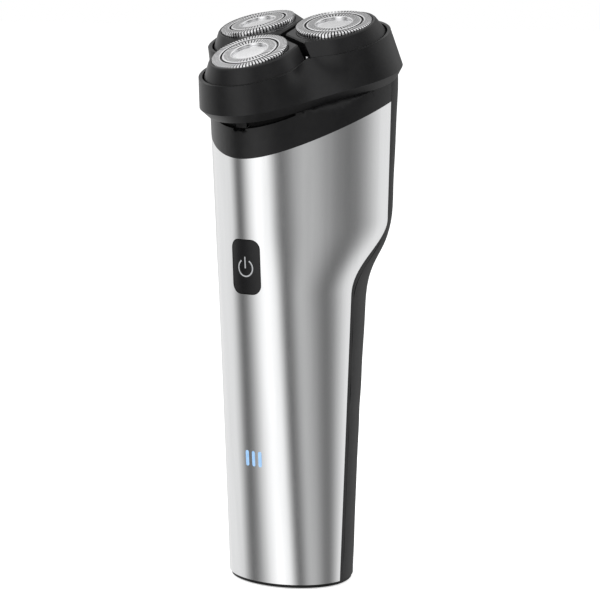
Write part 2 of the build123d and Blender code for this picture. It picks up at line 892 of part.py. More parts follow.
# Release button in the collar's notch
with BuildPart() as release_button:
    with BuildSketch(seat.offset(-recess_height)):
        with Locations((0, release_back - far / 2)):
            Rectangle(release_width, far)
    extrude(amount=-release_height)
    loft(handle_sections(inset=release_inset), mode=Mode.INTERSECT)
release_button.part.label = "release_button"
export_step(release_button.part, "parts/release_button.step")

# Power button: its face follows the shell, and a flange inside keeps it in
with BuildPart() as power_button:
    with BuildSketch(button_plane):
        RectangleRounded(
            button_width - 2 * button_clearance,
            button_height - 2 * button_clearance,
            button_corner - button_clearance,
        )
    extrude(amount=button_flange_drop, both=True)
    loft(handle_sections(inset=button_recess), mode=Mode.INTERSECT)
    with BuildSketch(button_plane.offset(-button_flange_drop)):
        RectangleRounded(
            button_width + 2 * button_flange_grow,
            button_height + 2 * button_flange_grow,
            button_corner + button_flange_grow,
        )
    extrude(amount=-button_flange_thickness)
    stem = disc(button_plane.offset(-button_flange_drop), button_stem_radius)
    extrude(stem, amount=button_flange_drop - button_stem_end)
power_button.part.label = "power_button"
export_step(power_button.part, "parts/power_button.step")

# Light pipe of the three charge bars
with BuildPart() as indicator_lens:
    with BuildSketch(lens_plane.offset(-lens_drop)):
        Rectangle(2 * bar_pitch + bar_width + 2 * lens_margin, bar_height + 2 * lens_margin)
    extrude(amount=-lens_plate)
    with BuildSketch(lens_plane.offset(-lens_drop)):
        with GridLocations(bar_pitch, 1, 3, 1):
            SlotCenterToCenter(bar_height - bar_width, bar_width, rotation=90)
    extrude(amount=lens_drop - lens_recess)
indicator_lens.part.label = "indicator_lens"
export_step(indicator_lens.part, "parts/indicator_lens.step")

# Circuit board on the chassis, with the switch and the lamp in front of it
board_plane = Plane((0, board_y, 0), x_dir=(1, 0, 0), z_dir=(0, -1, 0))
standoff_z = (board_bottom + standoff_end, board_top - standoff_end)
standoffs = [(x, z) for x in (-standoff_x, standoff_x) for z in standoff_z]
with BuildPart() as circuit_board:
    with BuildSketch(board_plane):
        with Locations((0, (board_bottom + board_top) / 2)):
            Rectangle(board_width, board_top - board_bottom)
        with Locations(*standoffs):
            Circle(standoff_peg, mode=Mode.SUBTRACT)
    extrude(amount=-board_thickness)
circuit_board.part.label = "circuit_board"
export_step(circuit_board.part, "parts/circuit_board.step")

with BuildPart() as tact_switch:
    with BuildSketch(board_plane):
        with Locations((0, button_z)):
            Rectangle(switch_size, switch_size)
    extrude(amount=switch_height)
    with BuildSketch(board_plane.offset(switch_height)):
        with Locations((0, button_z)):
            Circle(plunger_radius)
    extrude(amount=plunger_height)
tact_switch.part.label = "tact_switch"
export_step(tact_switch.part, "parts/tact_switch.step")

with BuildPart() as status_led:
    with BuildSketch(board_plane):
        with Locations((0, lens_z)):
            Rectangle(led_width, led_width / 2)
    extrude(amount=led_height)
status_led.part.label = "status_led"
export_step(status_led.part, "parts/status_led.step")

# Chassis: a foot on the base, a spine, shelves for the battery and standoffs for the board
battery_top = battery_bottom + battery_length
foot_half = foot_screw_x + screw_head
with BuildPart() as chassis:
    with BuildSketch(Plane.XY.offset(foot_height)):
        with Locations((0, spine_y + spine_thickness / 2)):
            Rectangle(2 * foot_half, 2 * spine_foot)
        with Locations((0, socket_y)):
            Rectangle(socket_width_x + 2 * foot_plate, socket_width_y + 2 * foot_plate)
    extrude(amount=foot_plate)
    with BuildSketch(Plane.XY.offset(foot_height)):
        with Locations((0, spine_y + spine_thickness / 2)):
            Rectangle(spine_width, spine_thickness)
    extrude(amount=spine_top - foot_height)
    for low in (battery_bottom - tab_thickness - shelf_thickness, battery_top + tab_thickness):
        with BuildSketch(Plane.XY.offset(low)):
            with Locations((0, (spine_y + battery_y + battery_radius / 2) / 2)):
                Rectangle(shelf_width, battery_y + battery_radius / 2 - spine_y)
        extrude(amount=shelf_thickness)
    with BuildSketch(board_plane.offset(-board_thickness)):
        with Locations(*standoffs):
            Circle(standoff_radius)
    extrude(amount=board_y + board_thickness - spine_y - spine_thickness / 2)
    with BuildSketch(board_plane.offset(-board_thickness)):
        with Locations(*standoffs):
            Circle(standoff_peg)
    extrude(amount=board_thickness)
    with BuildSketch():
        with Locations((0, socket_y)):
            Rectangle(socket_width_x + 2 * fit, socket_width_y + 2 * fit)
    extrude(amount=socket_bottom + socket_height + fit, mode=Mode.SUBTRACT)
    with BuildSketch():
        with GridLocations(2 * foot_screw_x, 1, 2, 1):
            Circle(screw_radius)
    extrude(amount=foot_height + foot_plate, mode=Mode.SUBTRACT)
chassis.part.label = "chassis"
export_step(chassis.part, "parts/chassis.step")

with BuildPart() as chassis_screws:
    with BuildSketch(Plane.XY.offset(fit)):
        with GridLocations(2 * foot_screw_x, 1, 2, 1):
            Circle(screw_head)
    extrude(amount=screw_head_height)
    with BuildSketch(Plane.XY.offset(fit)):
        with GridLocations(2 * foot_screw_x, 1, 2, 1):
            Circle(screw_radius)
    extrude(amount=foot_height + foot_plate - fit)
chassis_screws.part.label = "chassis_screws"
export_step(chassis_screws.part, "parts/chassis_screws.step")

# Battery cell between the shelves, with a contact strip at each end
with BuildPart() as battery:
    with BuildSketch(Plane.XY.offset(battery_bottom)):
        with Locations((0, battery_y)):
            Circle(battery_radius)
    extrude(amount=battery_length)
battery.part.label = "battery"
export_step(battery.part, "parts/battery.step")

with BuildPart() as battery_tabs:
    for low in (battery_bottom - tab_thickness, battery_top):
        with BuildSketch(Plane.XY.offset(low)):
            with Locations((0, battery_y)):
                Rectangle(tab_width, battery_radius)
        extrude(amount=tab_thickness)
battery_tabs.part.label = "battery_tabs"
export_step(battery_tabs.part, "parts/battery_tabs.step")

# Charging socket in the foot: a rounded shell with a tongue, open downwards
with BuildPart() as charge_socket:
    with BuildSketch(Plane.XY.offset(socket_bottom)):
        with Locations((0, socket_y)):
            SlotOverall(socket_width_x, socket_width_y)
    extrude(amount=socket_height)
    with BuildSketch(Plane.XY.offset(socket_bottom)):
        with Locations((0, socket_y)):
            SlotOverall(socket_width_x - 2 * socket_wall, socket_width_y - 2 * socket_wall)
            Rectangle(socket_width_x - socket_width_y, tongue_thickness, mode=Mode.SUBTRACT)
    extrude(amount=socket_height - 2 * socket_wall, mode=Mode.SUBTRACT)
charge_socket.part.label = "charge_socket"
export_step(charge_socket.part, "parts/charge_socket.step")
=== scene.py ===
"""Rotary electric shaver: its materials, the pieces that are finer than the solids, and the studio."""

import json
from math import copysign, cos, hypot, pi, radians, sin, sqrt, tan

import bmesh
import bpy
from mathutils import Matrix, Vector


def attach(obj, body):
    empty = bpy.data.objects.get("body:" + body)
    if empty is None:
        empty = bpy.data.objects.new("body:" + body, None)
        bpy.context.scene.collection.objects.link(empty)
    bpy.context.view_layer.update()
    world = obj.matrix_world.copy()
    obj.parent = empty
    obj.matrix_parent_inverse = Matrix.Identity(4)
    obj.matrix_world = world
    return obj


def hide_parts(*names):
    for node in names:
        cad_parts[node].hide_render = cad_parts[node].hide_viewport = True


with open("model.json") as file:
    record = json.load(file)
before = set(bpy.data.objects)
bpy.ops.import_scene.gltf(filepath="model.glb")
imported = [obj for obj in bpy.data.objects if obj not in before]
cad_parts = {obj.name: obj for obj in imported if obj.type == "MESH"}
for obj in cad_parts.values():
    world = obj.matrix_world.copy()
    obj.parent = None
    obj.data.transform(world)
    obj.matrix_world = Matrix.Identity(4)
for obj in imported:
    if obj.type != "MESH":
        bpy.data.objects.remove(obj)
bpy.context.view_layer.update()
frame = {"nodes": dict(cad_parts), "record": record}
nodes = frame["nodes"]
scene = bpy.context.scene

# Sizes below are in millimetres unless they are the studio's, which are in metres
MM = 0.001
TO_METRES = Matrix.Scale(MM, 4)

# Edges up to these angles are shaded smooth
PIECE_SMOOTH = radians(40)
SOLID_SMOOTH = radians(28)


# Materials

NOISE_LOW = 0.3
NOISE_HIGH = 0.7
GRAINS_IN_A_PATCH = 12
RELIEF_DEPTH = 0.02 * MM


def new_material(name):
    """A material with its node tree and its Principled shader."""
    material = bpy.data.materials.new(name)
    material.use_nodes = True
    return material, material.node_tree, material.node_tree.nodes["Principled BSDF"]


def noise(tree, scale, detail=2.0, stretch=(1, 1, 1)):
    """Noise in the object's own space, stretched along an axis if asked."""
    coords = tree.nodes.new("ShaderNodeTexCoord")
    mapping = tree.nodes.new("ShaderNodeMapping")
    mapping.inputs["Scale"].default_value = stretch
    texture = tree.nodes.new("ShaderNodeTexNoise")
    texture.inputs["Scale"].default_value = scale
    texture.inputs["Detail"].default_value = detail
    tree.links.new(coords.outputs["Object"], mapping.inputs["Vector"])
    tree.links.new(mapping.outputs["Vector"], texture.inputs["Vector"])
    return texture.outputs["Fac"]


def spread(tree, value, low, high):
    """The usual values of noise, spread over a range."""
    node = tree.nodes.new("ShaderNodeMapRange")
    node.inputs["From Min"].default_value = NOISE_LOW
    node.inputs["From Max"].default_value = NOISE_HIGH
    node.inputs["To Min"].default_value = low
    node.inputs["To Max"].default_value = high
    tree.links.new(value, node.inputs["Value"])
    return node.outputs["Result"]


def tint(tree, value, low, high):
    """A colour that varies between two tones."""
    node = tree.nodes.new("ShaderNodeMix")
    node.data_type = "RGBA"
    node.inputs["A"].default_value = (*low, 1)
    node.inputs["B"].default_value = (*high, 1)
    tree.links.new(spread(tree, value, 0, 1), node.inputs["Factor"])
    return node.outputs["Result"]


def surface(name, low, high, rough, metallic=0.0, grain=3000, stretch=(1, 1, 1), bump=0.0, mirror=0.5):
    """A material with tone, roughness and relief that vary over the surface."""
    material, tree, shader = new_material(name)
    broad = noise(tree, grain / GRAINS_IN_A_PATCH, detail=3.0, stretch=stretch)
    fine = noise(tree, grain, stretch=stretch)
    tree.links.new(tint(tree, broad, low, high), shader.inputs["Base Color"])
    tree.links.new(spread(tree, fine, *rough), shader.inputs["Roughness"])
    shader.inputs["Metallic"].default_value = metallic
    shader.inputs["Specular IOR Level"].default_value = mirror
    if bump:
        relief = tree.nodes.new("ShaderNodeBump")
        relief.inputs["Strength"].default_value = bump
        relief.inputs["Distance"].default_value = RELIEF_DEPTH
        tree.links.new(fine, relief.inputs["Height"])
        tree.links.new(relief.outputs["Normal"], shader.inputs["Normal"])
    return material


# Casing
steel = surface(
    "satin_steel", (0.80, 0.805, 0.81), (0.84, 0.845, 0.85), (0.15, 0.19),
    metallic=1.0, grain=5000, stretch=(1, 1, 0.02), bump=0.02,
)
black = surface(
    "black_plastic", (0.005, 0.005, 0.0055), (0.007, 0.007, 0.0075), (0.32, 0.40),
    grain=6000, bump=0.08, mirror=0.34,
)
# Painted shade: a darker, duller black on the walls and floors of the cuts (the button's window, the bars'
# slots and the collar's groove), where there is only shadow
shade = surface(
    "painted_recess_shade", (0.004, 0.004, 0.0042), (0.006, 0.006, 0.0062), (0.6, 0.7),
    grain=5000, mirror=0.15,
)
rear = surface(
    "rear_plastic", (0.005, 0.005, 0.0055), (0.008, 0.008, 0.0085), (0.36, 0.44),
    grain=6000, bump=0.08, mirror=0.24,
)
foot = surface(
    "foot_plastic", (0.005, 0.005, 0.005), (0.008, 0.008, 0.008), (0.5, 0.6),
    grain=5000, bump=0.1, mirror=0.3,
)

# Controls
button = surface(
    "button_plastic", (0.004, 0.004, 0.0045), (0.006, 0.006, 0.0065), (0.24, 0.3),
    grain=6000, bump=0.04, mirror=0.35,
)
ink = surface(
    "symbol_ink", (0.36, 0.37, 0.38), (0.42, 0.43, 0.44), (0.4, 0.5),
    grain=4000, bump=0.03,
)
lens, lens_tree, lens_shader = new_material("lens")
glow = noise(lens_tree, scale=700)
lens_tone = tint(lens_tree, glow, (0.26, 0.46, 0.74), (0.36, 0.56, 0.82))
lens_rough = spread(lens_tree, glow, 0.18, 0.26)
lens_tree.links.new(lens_tone, lens_shader.inputs["Base Color"])
lens_tree.links.new(lens_rough, lens_shader.inputs["Roughness"])
lens_shader.inputs["Emission Color"].default_value = (0.40, 0.66, 1.0, 1)
lens_shader.inputs["Emission Strength"].default_value = 0.18

# Guards and cutters
guard_steel = surface(
    "guard_steel", (0.78, 0.78, 0.79), (0.88, 0.88, 0.89), (0.16, 0.26),
    metallic=1.0, grain=4000, bump=0.06,
)
disc_steel = surface(
    "disc_steel", (0.86, 0.86, 0.87), (0.92, 0.92, 0.93), (0.16, 0.28),
    metallic=1.0, grain=4000, bump=0.06,
)
# Painted shade: a near-black steel on the walls of the guards' slots and in the track's groove, where the
# guard's own steel lies in shadow
painted_slot_shade = surface(
    "painted_slot_shade", (0.05, 0.05, 0.052), (0.09, 0.09, 0.092), (0.3, 0.4),
    metallic=1.0, bump=0.04,
)
cutter_steel = surface(
    "cutter_steel", (0.10, 0.10, 0.105), (0.16, 0.16, 0.165), (0.3, 0.4),
    metallic=1.0, bump=0.04,
)

# Drive and inner pieces
acetal = surface(
    "drive_plastic", (0.68, 0.68, 0.64), (0.74, 0.74, 0.70), (0.4, 0.5),
    bump=0.05,
)
brass = surface(
    "pinion_brass", (0.60, 0.43, 0.17), (0.68, 0.50, 0.22), (0.22, 0.32),
    metallic=1.0, bump=0.04,
)
bright = surface(
    "pin_steel", (0.62, 0.62, 0.63), (0.70, 0.70, 0.71), (0.15, 0.25),
    metallic=1.0, bump=0.03,
)
dark = surface(
    "frame_plastic", (0.020, 0.020, 0.022), (0.028, 0.028, 0.03), (0.45, 0.55),
    bump=0.08,
)
rubber = surface(
    "seal_rubber", (0.010, 0.010, 0.010), (0.016, 0.016, 0.016), (0.65, 0.8),
    grain=4000, bump=0.1,
)
zinc = surface(
    "motor_steel", (0.42, 0.42, 0.44), (0.52, 0.52, 0.54), (0.28, 0.4),
    metallic=1.0, grain=2500, bump=0.05,
)
wrap = surface(
    "battery_wrap", (0.02, 0.07, 0.22), (0.03, 0.09, 0.27), (0.25, 0.32),
    grain=2500, bump=0.03,
)
mask = surface(
    "board", (0.008, 0.055, 0.02), (0.012, 0.075, 0.03), (0.35, 0.45),
    grain=2500, bump=0.05,
)
moulded = surface(
    "switch_plastic", (0.02, 0.02, 0.02), (0.03, 0.03, 0.03), (0.4, 0.5),
    bump=0.05,
)
lamp = surface(
    "lamp", (0.55, 0.72, 0.90), (0.65, 0.80, 0.95), (0.12, 0.2),
    bump=0.02,
)

by_slot = {
    "satin_steel": steel, "rear_plastic": rear, "black_plastic": black, "foot_plastic": foot,
    "button_plastic": button, "lens": lens, "guard_steel": guard_steel, "cutter_steel": cutter_steel,
    "drive_plastic": acetal, "pinion_brass": brass, "pin_steel": bright, "frame_plastic": dark,
    "seal_rubber": rubber, "motor_steel": zinc, "battery_wrap": wrap, "board": mask,
    "switch_plastic": moulded, "lamp": lamp,
}
for entry in frame["record"]["subparts"]:
    node = nodes[entry["node"]]
    node.data.materials.clear()
    node.data.materials.append(by_slot[entry["material_slot"]])


# The head's frame, as in the solids

HEAD_TILT = radians(19.1)
HOLDER_SPLAY = radians(4.5)
HEAD = Vector((0, -5.5, 159.2))
HEAD_X = Vector((1, 0, 0))
HEAD_Y = Vector((0, cos(HEAD_TILT), sin(HEAD_TILT)))
HEAD_Z = Vector((0, -sin(HEAD_TILT), cos(HEAD_TILT)))
DRIVE_RADIUS = 15.0
HUB_DROP = 6.6
HOLDER_RADIUS = DRIVE_RADIUS + HUB_DROP * tan(HOLDER_SPLAY)
STATIONS = {"front": radians(-90), "right": radians(30), "left": radians(150)}


def outward(angle):
    """The direction out from the head's axis at an angle about it."""
    return HEAD_X * cos(angle) + HEAD_Y * sin(angle)


def holder_matrix(angle):
    """From a holder's own frame, in millimetres, to the row frame, in metres."""
    out = outward(angle)
    origin = HEAD + out * HOLDER_RADIUS
    x = out * cos(HOLDER_SPLAY) - HEAD_Z * sin(HOLDER_SPLAY)
    z = HEAD_Z * cos(HOLDER_SPLAY) + out * sin(HOLDER_SPLAY)
    turn = Matrix((x, z.cross(x), z)).transposed().to_4x4()
    return TO_METRES @ Matrix.Translation(origin) @ turn


# Making pieces

def add_piece(name, bm, materials, body, matrix=Matrix()):
    """An object from a bmesh, shaded smooth and riding on a body."""
    mesh = bpy.data.meshes.new(name)
    bm.transform(matrix)
    bmesh.ops.recalc_face_normals(bm, faces=bm.faces)
    bm.to_mesh(mesh)
    bm.free()
    for material in materials:
        mesh.materials.append(material)
    mesh.shade_smooth()
    mesh.set_sharp_from_angle(angle=PIECE_SMOOTH)
    piece = bpy.data.objects.new(name, mesh)
    scene.collection.objects.link(piece)
    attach(piece, body)
    return piece


def sheet(bm, rows):
    """Faces between each row of points and the following one."""
    for row, following in zip(rows, rows[1:]):
        for i in range(len(row) - 1):
            bm.faces.new((row[i], following[i], following[i + 1], row[i + 1]))


def sharpen_between_materials(mesh):
    """Sharp edges wherever two materials meet."""
    bm = bmesh.new()
    bm.from_mesh(mesh)
    for edge in bm.edges:
        if len({face.material_index for face in edge.link_faces}) > 1:
            edge.smooth = False
    bm.to_mesh(mesh)
    bm.free()


def cut_out(piece, bm, cut_shade):
    """Take a closed bmesh out of a piece, give the cut's walls the painted shade passed in, and shade the
    piece smooth again.
    """
    tool = bpy.data.objects.new("tool", bpy.data.meshes.new("tool"))
    bm.to_mesh(tool.data)
    bm.free()
    tool.data.materials.append(cut_shade)
    scene.collection.objects.link(tool)
    cut = piece.modifiers.new("cut", "BOOLEAN")
    cut.object = tool
    cut.material_mode = "TRANSFER"
    bpy.context.view_layer.update()
    mesh = bpy.data.meshes.new_from_object(piece.evaluated_get(bpy.context.evaluated_depsgraph_get()))
    piece.modifiers.clear()
    piece.data = mesh
    bpy.data.objects.remove(tool)
    mesh.shade_smooth()
    mesh.set_sharp_from_angle(angle=SOLID_SMOOTH)
    sharpen_between_materials(mesh)


# Guards, with their fine slots

# Profiles as (r, z) points from the middle of a guard's face
CENTRE_DISC = [
    (0, -0.5), (2.6, -0.52), (3.9, -0.56), (4.25, -0.6), (4.35, -0.72), (4.6, -0.74), (5.06, -0.74),
]
INNER_TRACK = [
    (5.0, -0.72), (5.05, -0.15), (5.15, -0.03), (5.3, 0.0), (5.5, 0.0),
    (6.4, 0.02), (7.1, 0.02), (7.4, 0.0), (7.78, 0.0), (7.86, -0.06),
]
TRACK_GROOVE = [(7.86, -0.06), (7.88, -0.6), (8.44, -0.6), (8.46, -0.06)]
OUTER_TRACK = [
    (8.46, -0.06), (8.54, 0.0), (8.8, 0.0), (9.4, 0.02), (10.1, 0.02), (10.5, 0.0),
    (10.74, -0.07), (10.88, -0.2), (10.93, -0.42), (10.93, -1.0), (10.93, -1.3), (10.93, -2.8),
]
# The points of the profile at which a track's slots begin and end, and the number of slots
INNER_SLOTS = (4, 7, 48)
OUTER_SLOTS = (2, 10, 72)
BAR_SHARE = 0.6
SLOT_DEPTH = 0.6
SLOT_TAPER = 0.96
TURN_STEPS = 96
# Places of the disc's steel and of the slots' painted shade among a guard's materials
DISC, SLOT_SHADE = 1, 2


def around(r, angle, z):
    """A point at a radius, an angle and a height."""
    return r * cos(angle), r * sin(angle), z


def slotted_ring(bm, profile, first, last, count):
    """A turned skin through a profile, with walled slots between two of its points, their walls in painted
    shade.
    """
    lines = []
    for i in range(count):
        for part in (0.0, BAR_SHARE):
            angle = 2 * pi * (i + part) / count
            line = [bm.verts.new(around(r, angle, z)) for r, z in profile]
            wall = [
                bm.verts.new(around(r * SLOT_TAPER, angle, z - SLOT_DEPTH))
                for r, z in profile[first:last + 1]
            ]
            for j in range(last - first):
                face = bm.faces.new((line[first + j], line[first + j + 1], wall[j + 1], wall[j]))
                # The slot's wall takes the painted shade
                face.material_index = SLOT_SHADE
            lines.append(line)
    for i, line in enumerate(lines):
        following = lines[(i + 1) % len(lines)]
        is_bar = i % 2 == 0
        for j in range(len(profile) - 1):
            if is_bar or j < first or j >= last:
                bm.faces.new((line[j], following[j], following[j + 1], line[j + 1]))


def turned(bm, profile, index):
    """A turned skin through a profile, closed where r is 0, in one of the piece's materials."""
    rings = []
    for r, z in profile:
        steps = TURN_STEPS if r else 1
        rings.append([bm.verts.new(around(r, 2 * pi * i / steps, z)) for i in range(steps)])
    for low, high in zip(rings, rings[1:]):
        for i in range(TURN_STEPS):
            k = (i + 1) % TURN_STEPS
            if len(low) == 1:
                corners = (high[k], high[i], low[0])
            else:
                corners = (low[i], low[k], high[k], high[i])
            face = bm.faces.new(corners)
            face.material_index = index


for name, angle in STATIONS.items():
    bm = bmesh.new()
    slotted_ring(bm, OUTER_TRACK, *OUTER_SLOTS)
    slotted_ring(bm, INNER_TRACK, *INNER_SLOTS)
    turned(bm, CENTRE_DISC, DISC)
    # The track's groove takes the painted shade too
    turned(bm, TRACK_GROOVE, SLOT_SHADE)
    guard_materials = [guard_steel, disc_steel, painted_slot_shade]
    piece = add_piece(f"guard_{name}_fine", bm, guard_materials, f"holder_{name}", holder_matrix(angle))
    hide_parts(f"guard_{name}")


# Bright pin ends at the outer ends of the gaps, which lie halfway between the holders

GAP_TURN = pi / 3
PIN_REACH = 15.3
PIN_LEVEL = -4.9
PIN_END_RADIUS = 0.45
bm = bmesh.new()
for angle in STATIONS.values():
    spot = Matrix.Translation(HEAD + outward(angle + GAP_TURN) * PIN_REACH + HEAD_Z * PIN_LEVEL)
    bmesh.ops.create_uvsphere(bm, u_segments=20, v_segments=12, radius=PIN_END_RADIUS, matrix=spot)
pin_ends = add_piece("gap_pin_ends", bm, [bright], "head", TO_METRES)


# The handle's front, from the outline that the solids use

FRONT_DEPTH = 16.3
FRONT_LEAN = 0.066
BASE_HALF_WIDTH = 18.9
SIDE_FLARE = 0.0265
SHOULDER_HALF_WIDTH = 26.9
SHOULDER_FLARE = 0.028
BASE_SEAM = -1.0
SEAM_DRIFT = 0.0244
SHOULDER_SEAM = 9.5
SHOULDER_LOW = 84.5
SHOULDER_HIGH = 106.0
ROUND_FULLNESS = 0.552
FRONT_FULLNESS = 0.465
WALL = 1.8
SHELL_BOTTOM = 1.0
STEEL_EDGE = ((-30.0, 121.0), (-5.7, 133.6), (14.0, 141.0))
SEAT_DROP = 17.6
SEAT = HEAD - SEAT_DROP * HEAD_Z
SEAT_TILT = radians(15.6)

# The steel ends ahead of the solids' seam at the base and joins it late on the shoulder
STEEL_SEAM = -2.4
SEAM_DELAY = 1.5

HALVINGS = 40
SETTLING_STEPS = 30


def between(low, high, share):
    """The value at a share of the way from one value to another."""
    return low * (1 - share) + high * share


def shoulder_rise(z):
    """Smooth rise from 0 below the shoulder to 1 above it."""
    t = min(max((z - SHOULDER_LOW) / (SHOULDER_HIGH - SHOULDER_LOW), 0), 1)
    return t * t * (3 - 2 * t)


def front_point(t, z, inset=0.0):
    """A point of the front outline at a height, with t from 0 in the middle to 1 at the seam."""
    rise = shoulder_rise(z)
    ahead = FRONT_DEPTH + FRONT_LEAN * z - inset
    shoulder = SHOULDER_HALF_WIDTH + SHOULDER_FLARE * (z - SHOULDER_HIGH)
    side = between(BASE_HALF_WIDTH + SIDE_FLARE * z, shoulder, rise) - inset
    seam = between(BASE_SEAM + SEAM_DRIFT * z, SHOULDER_SEAM, rise)
    pull = between(ROUND_FULLNESS, FRONT_FULLNESS, rise)
    near = 3 * (1 - t) ** 2 * t
    late = 3 * (1 - t) * t ** 2
    x = (near * pull + late + t ** 3) * side
    y = -ahead * ((1 - t) ** 3 + near) + late * (seam - pull * (seam + ahead)) + t ** 3 * seam
    return x, y


def first_share(is_past):
    """The share from 0 to 1 from which a test holds, found by halving."""
    low, high = 0.0, 1.0
    for _ in range(HALVINGS):
        middle = (low + high) / 2
        if is_past(middle):
            high = middle
        else:
            low = middle
    return high


def steel_end(z):
    """The share of the front outline that is steel: the rest is the dark edge beside the seam."""
    end = between(STEEL_SEAM + SEAM_DRIFT * z, SHOULDER_SEAM, shoulder_rise(z) ** SEAM_DELAY)
    return first_share(lambda t: front_point(t, z)[1] >= end)


def front_y(x, z, inset):
    """Depth of the front at a place."""
    t = first_share(lambda share: front_point(share, z, inset)[0] >= abs(x))
    return front_point(t, z, inset)[1]


def circle_through(points):
    """Centre and radius of the circle through three points."""
    (xa, ya), (xb, yb), (xc, yc) = points
    a, b, c = (x * x + y * y for x, y in points)
    scale = 2 * (xa * (yb - yc) + xb * (yc - ya) + xc * (ya - yb))
    x = (a * (yb - yc) + b * (yc - ya) + c * (ya - yb)) / scale
    y = (a * (xc - xb) + b * (xa - xc) + c * (xb - xa)) / scale
    return x, y, hypot(xa - x, ya - y)


EDGE_Y, EDGE_Z, EDGE_RADIUS = circle_through(STEEL_EDGE)


def steel_top(t):
    """Height at which the steel ends: on an arc through three points, seen from the side."""
    z = EDGE_Z + EDGE_RADIUS
    for _ in range(SETTLING_STEPS):
        z = EDGE_Z + sqrt(EDGE_RADIUS ** 2 - (front_point(t, z)[1] - EDGE_Y) ** 2)
    return z


def seat_height(t, drop):
    """Height on the outline, at a drop below the plane on which the head sits."""
    z = SEAT.z
    for _ in range(SETTLING_STEPS):
        z = SEAT.z - drop + (front_point(t, z)[1] - SEAT.y) * tan(SEAT_TILT)
    return z


def shell_bottom(t):
    """Height at which the shells end above the foot, the same all along the outline."""
    return SHELL_BOTTOM


def wall_mesh(columns, rows, first, last, low, high, outer_inset=0.0, inner_inset=WALL):
    """A wall of the front between two shares of its outline and two heights, each a function."""
    bm = bmesh.new()
    skins = []
    for inset in (outer_inset, inner_inset):
        skin = []
        for i in range(columns + 1):
            share = i / columns
            t = abs(between(first(SHOULDER_HIGH), last(SHOULDER_HIGH), share))
            bottom = low(t)
            top = high(t)
            column = []
            for j in range(rows + 1):
                z = bottom + (top - bottom) * j / rows
                u = between(first(z), last(z), share)
                x, y = front_point(abs(u), z, inset)
                column.append(bm.verts.new((copysign(x, u), y, z)))
            skin.append(column)
        sheet(bm, skin)
        skins.append(skin)
    outside, inside = skins
    for j in (0, rows):
        sheet(bm, [[column[j] for column in skin] for skin in skins])
    for i in (0, columns):
        sheet(bm, [outside[i], inside[i]])
    bm.transform(TO_METRES)
    bmesh.ops.recalc_face_normals(bm, faces=bm.faces)
    return bm


# Steel front shell: a finer mesh of the solid's wall, window and slots, as far as the steel's own edge

SHELL_COLUMNS = 120
SHELL_ROWS = 130
BUTTON_Z = 93.6
BUTTON_WIDTH = 9.8
BUTTON_HEIGHT = 15.8
BUTTON_CORNER = 2.8
LENS_Z = 37.75
BAR_WIDTH = 1.1
BAR_HEIGHT = 4.6
BAR_PITCH = 2.2
BAR_CORNER = BAR_WIDTH / 2 - 0.001
CORNER_STEPS = 8
CUT_REACH = 5.0


def front_plane(z):
    """From a plane on the middle of the front at a height, in millimetres, to the row frame, in metres."""
    out = Vector((0, -1, -FRONT_LEAN)).normalized()
    turn = Matrix((HEAD_X, out.cross(HEAD_X), out)).transposed().to_4x4()
    return TO_METRES @ Matrix.Translation((0, -FRONT_DEPTH - FRONT_LEAN * z, z)) @ turn


def rounded_prism(bm, matrix, width, height, corner, x=0.0):
    """A rounded rectangle on a plane, drawn out to both sides."""
    outline = []
    for k, (sx, sy) in enumerate(((1, 1), (-1, 1), (-1, -1), (1, -1))):
        for i in range(CORNER_STEPS + 1):
            a = pi / 2 * (k + i / CORNER_STEPS)
            px = x + sx * (width / 2 - corner) + corner * cos(a)
            py = sy * (height / 2 - corner) + corner * sin(a)
            outline.append((px, py))
    low, high = (
        [bm.verts.new(matrix @ Vector((px, py, reach))) for px, py in outline]
        for reach in (-CUT_REACH, CUT_REACH)
    )
    for i in range(len(outline)):
        k = (i + 1) % len(outline)
        bm.faces.new((low[i], low[k], high[k], high[i]))
    bm.faces.new(low[::-1])
    bm.faces.new(high)


bm = wall_mesh(SHELL_COLUMNS, SHELL_ROWS, lambda z: -steel_end(z), steel_end, shell_bottom, steel_top)
shell = add_piece("front_shell_smooth", bm, [steel], "body")
bm = bmesh.new()
rounded_prism(bm, front_plane(BUTTON_Z), BUTTON_WIDTH, BUTTON_HEIGHT, BUTTON_CORNER)
for x in (-BAR_PITCH, 0, BAR_PITCH):
    rounded_prism(bm, front_plane(LENS_Z), BAR_WIDTH, BAR_HEIGHT, BAR_CORNER, x)
bmesh.ops.recalc_face_normals(bm, faces=bm.faces)
# The walls of the button's window and of the bars' slots take the painted shade
cut_out(shell, bm, shade)
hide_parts("front_shell")


# Dark edges between the steel and the seam

EDGE_COLUMNS = 4
for side, name in ((-1, "left"), (1, "right")):
    bm = wall_mesh(
        EDGE_COLUMNS, SHELL_ROWS, lambda z: side * steel_end(z), lambda z: side, shell_bottom, steel_top,
    )
    edge = add_piece(f"rear_edge_{name}", bm, [rear], "body")


# Collar, with its finger groove drawn further down and round than in the solid

# The groove's end is a share of the outline, and its rise there a share of its drop below the seat
GROOVE_END = 0.38
GROOVE_DROP = 2.9
GROOVE_RISE = 0.7
GROOVE_DEPTH = 1.5
GROOVE_COLUMNS = 96
GROOVE_ROWS = 4
CUT_ABOVE = 0.5
CUT_AHEAD = 1.0


def groove_bottom(t):
    """Height of the groove's lower edge, which rises towards its ends."""
    return seat_height(t, GROOVE_DROP * (1 - GROOVE_RISE * (t / GROOVE_END) ** 2))


def groove_top(t):
    """Height at which the cut for the groove ends, above the collar."""
    return seat_height(t, -CUT_ABOVE)


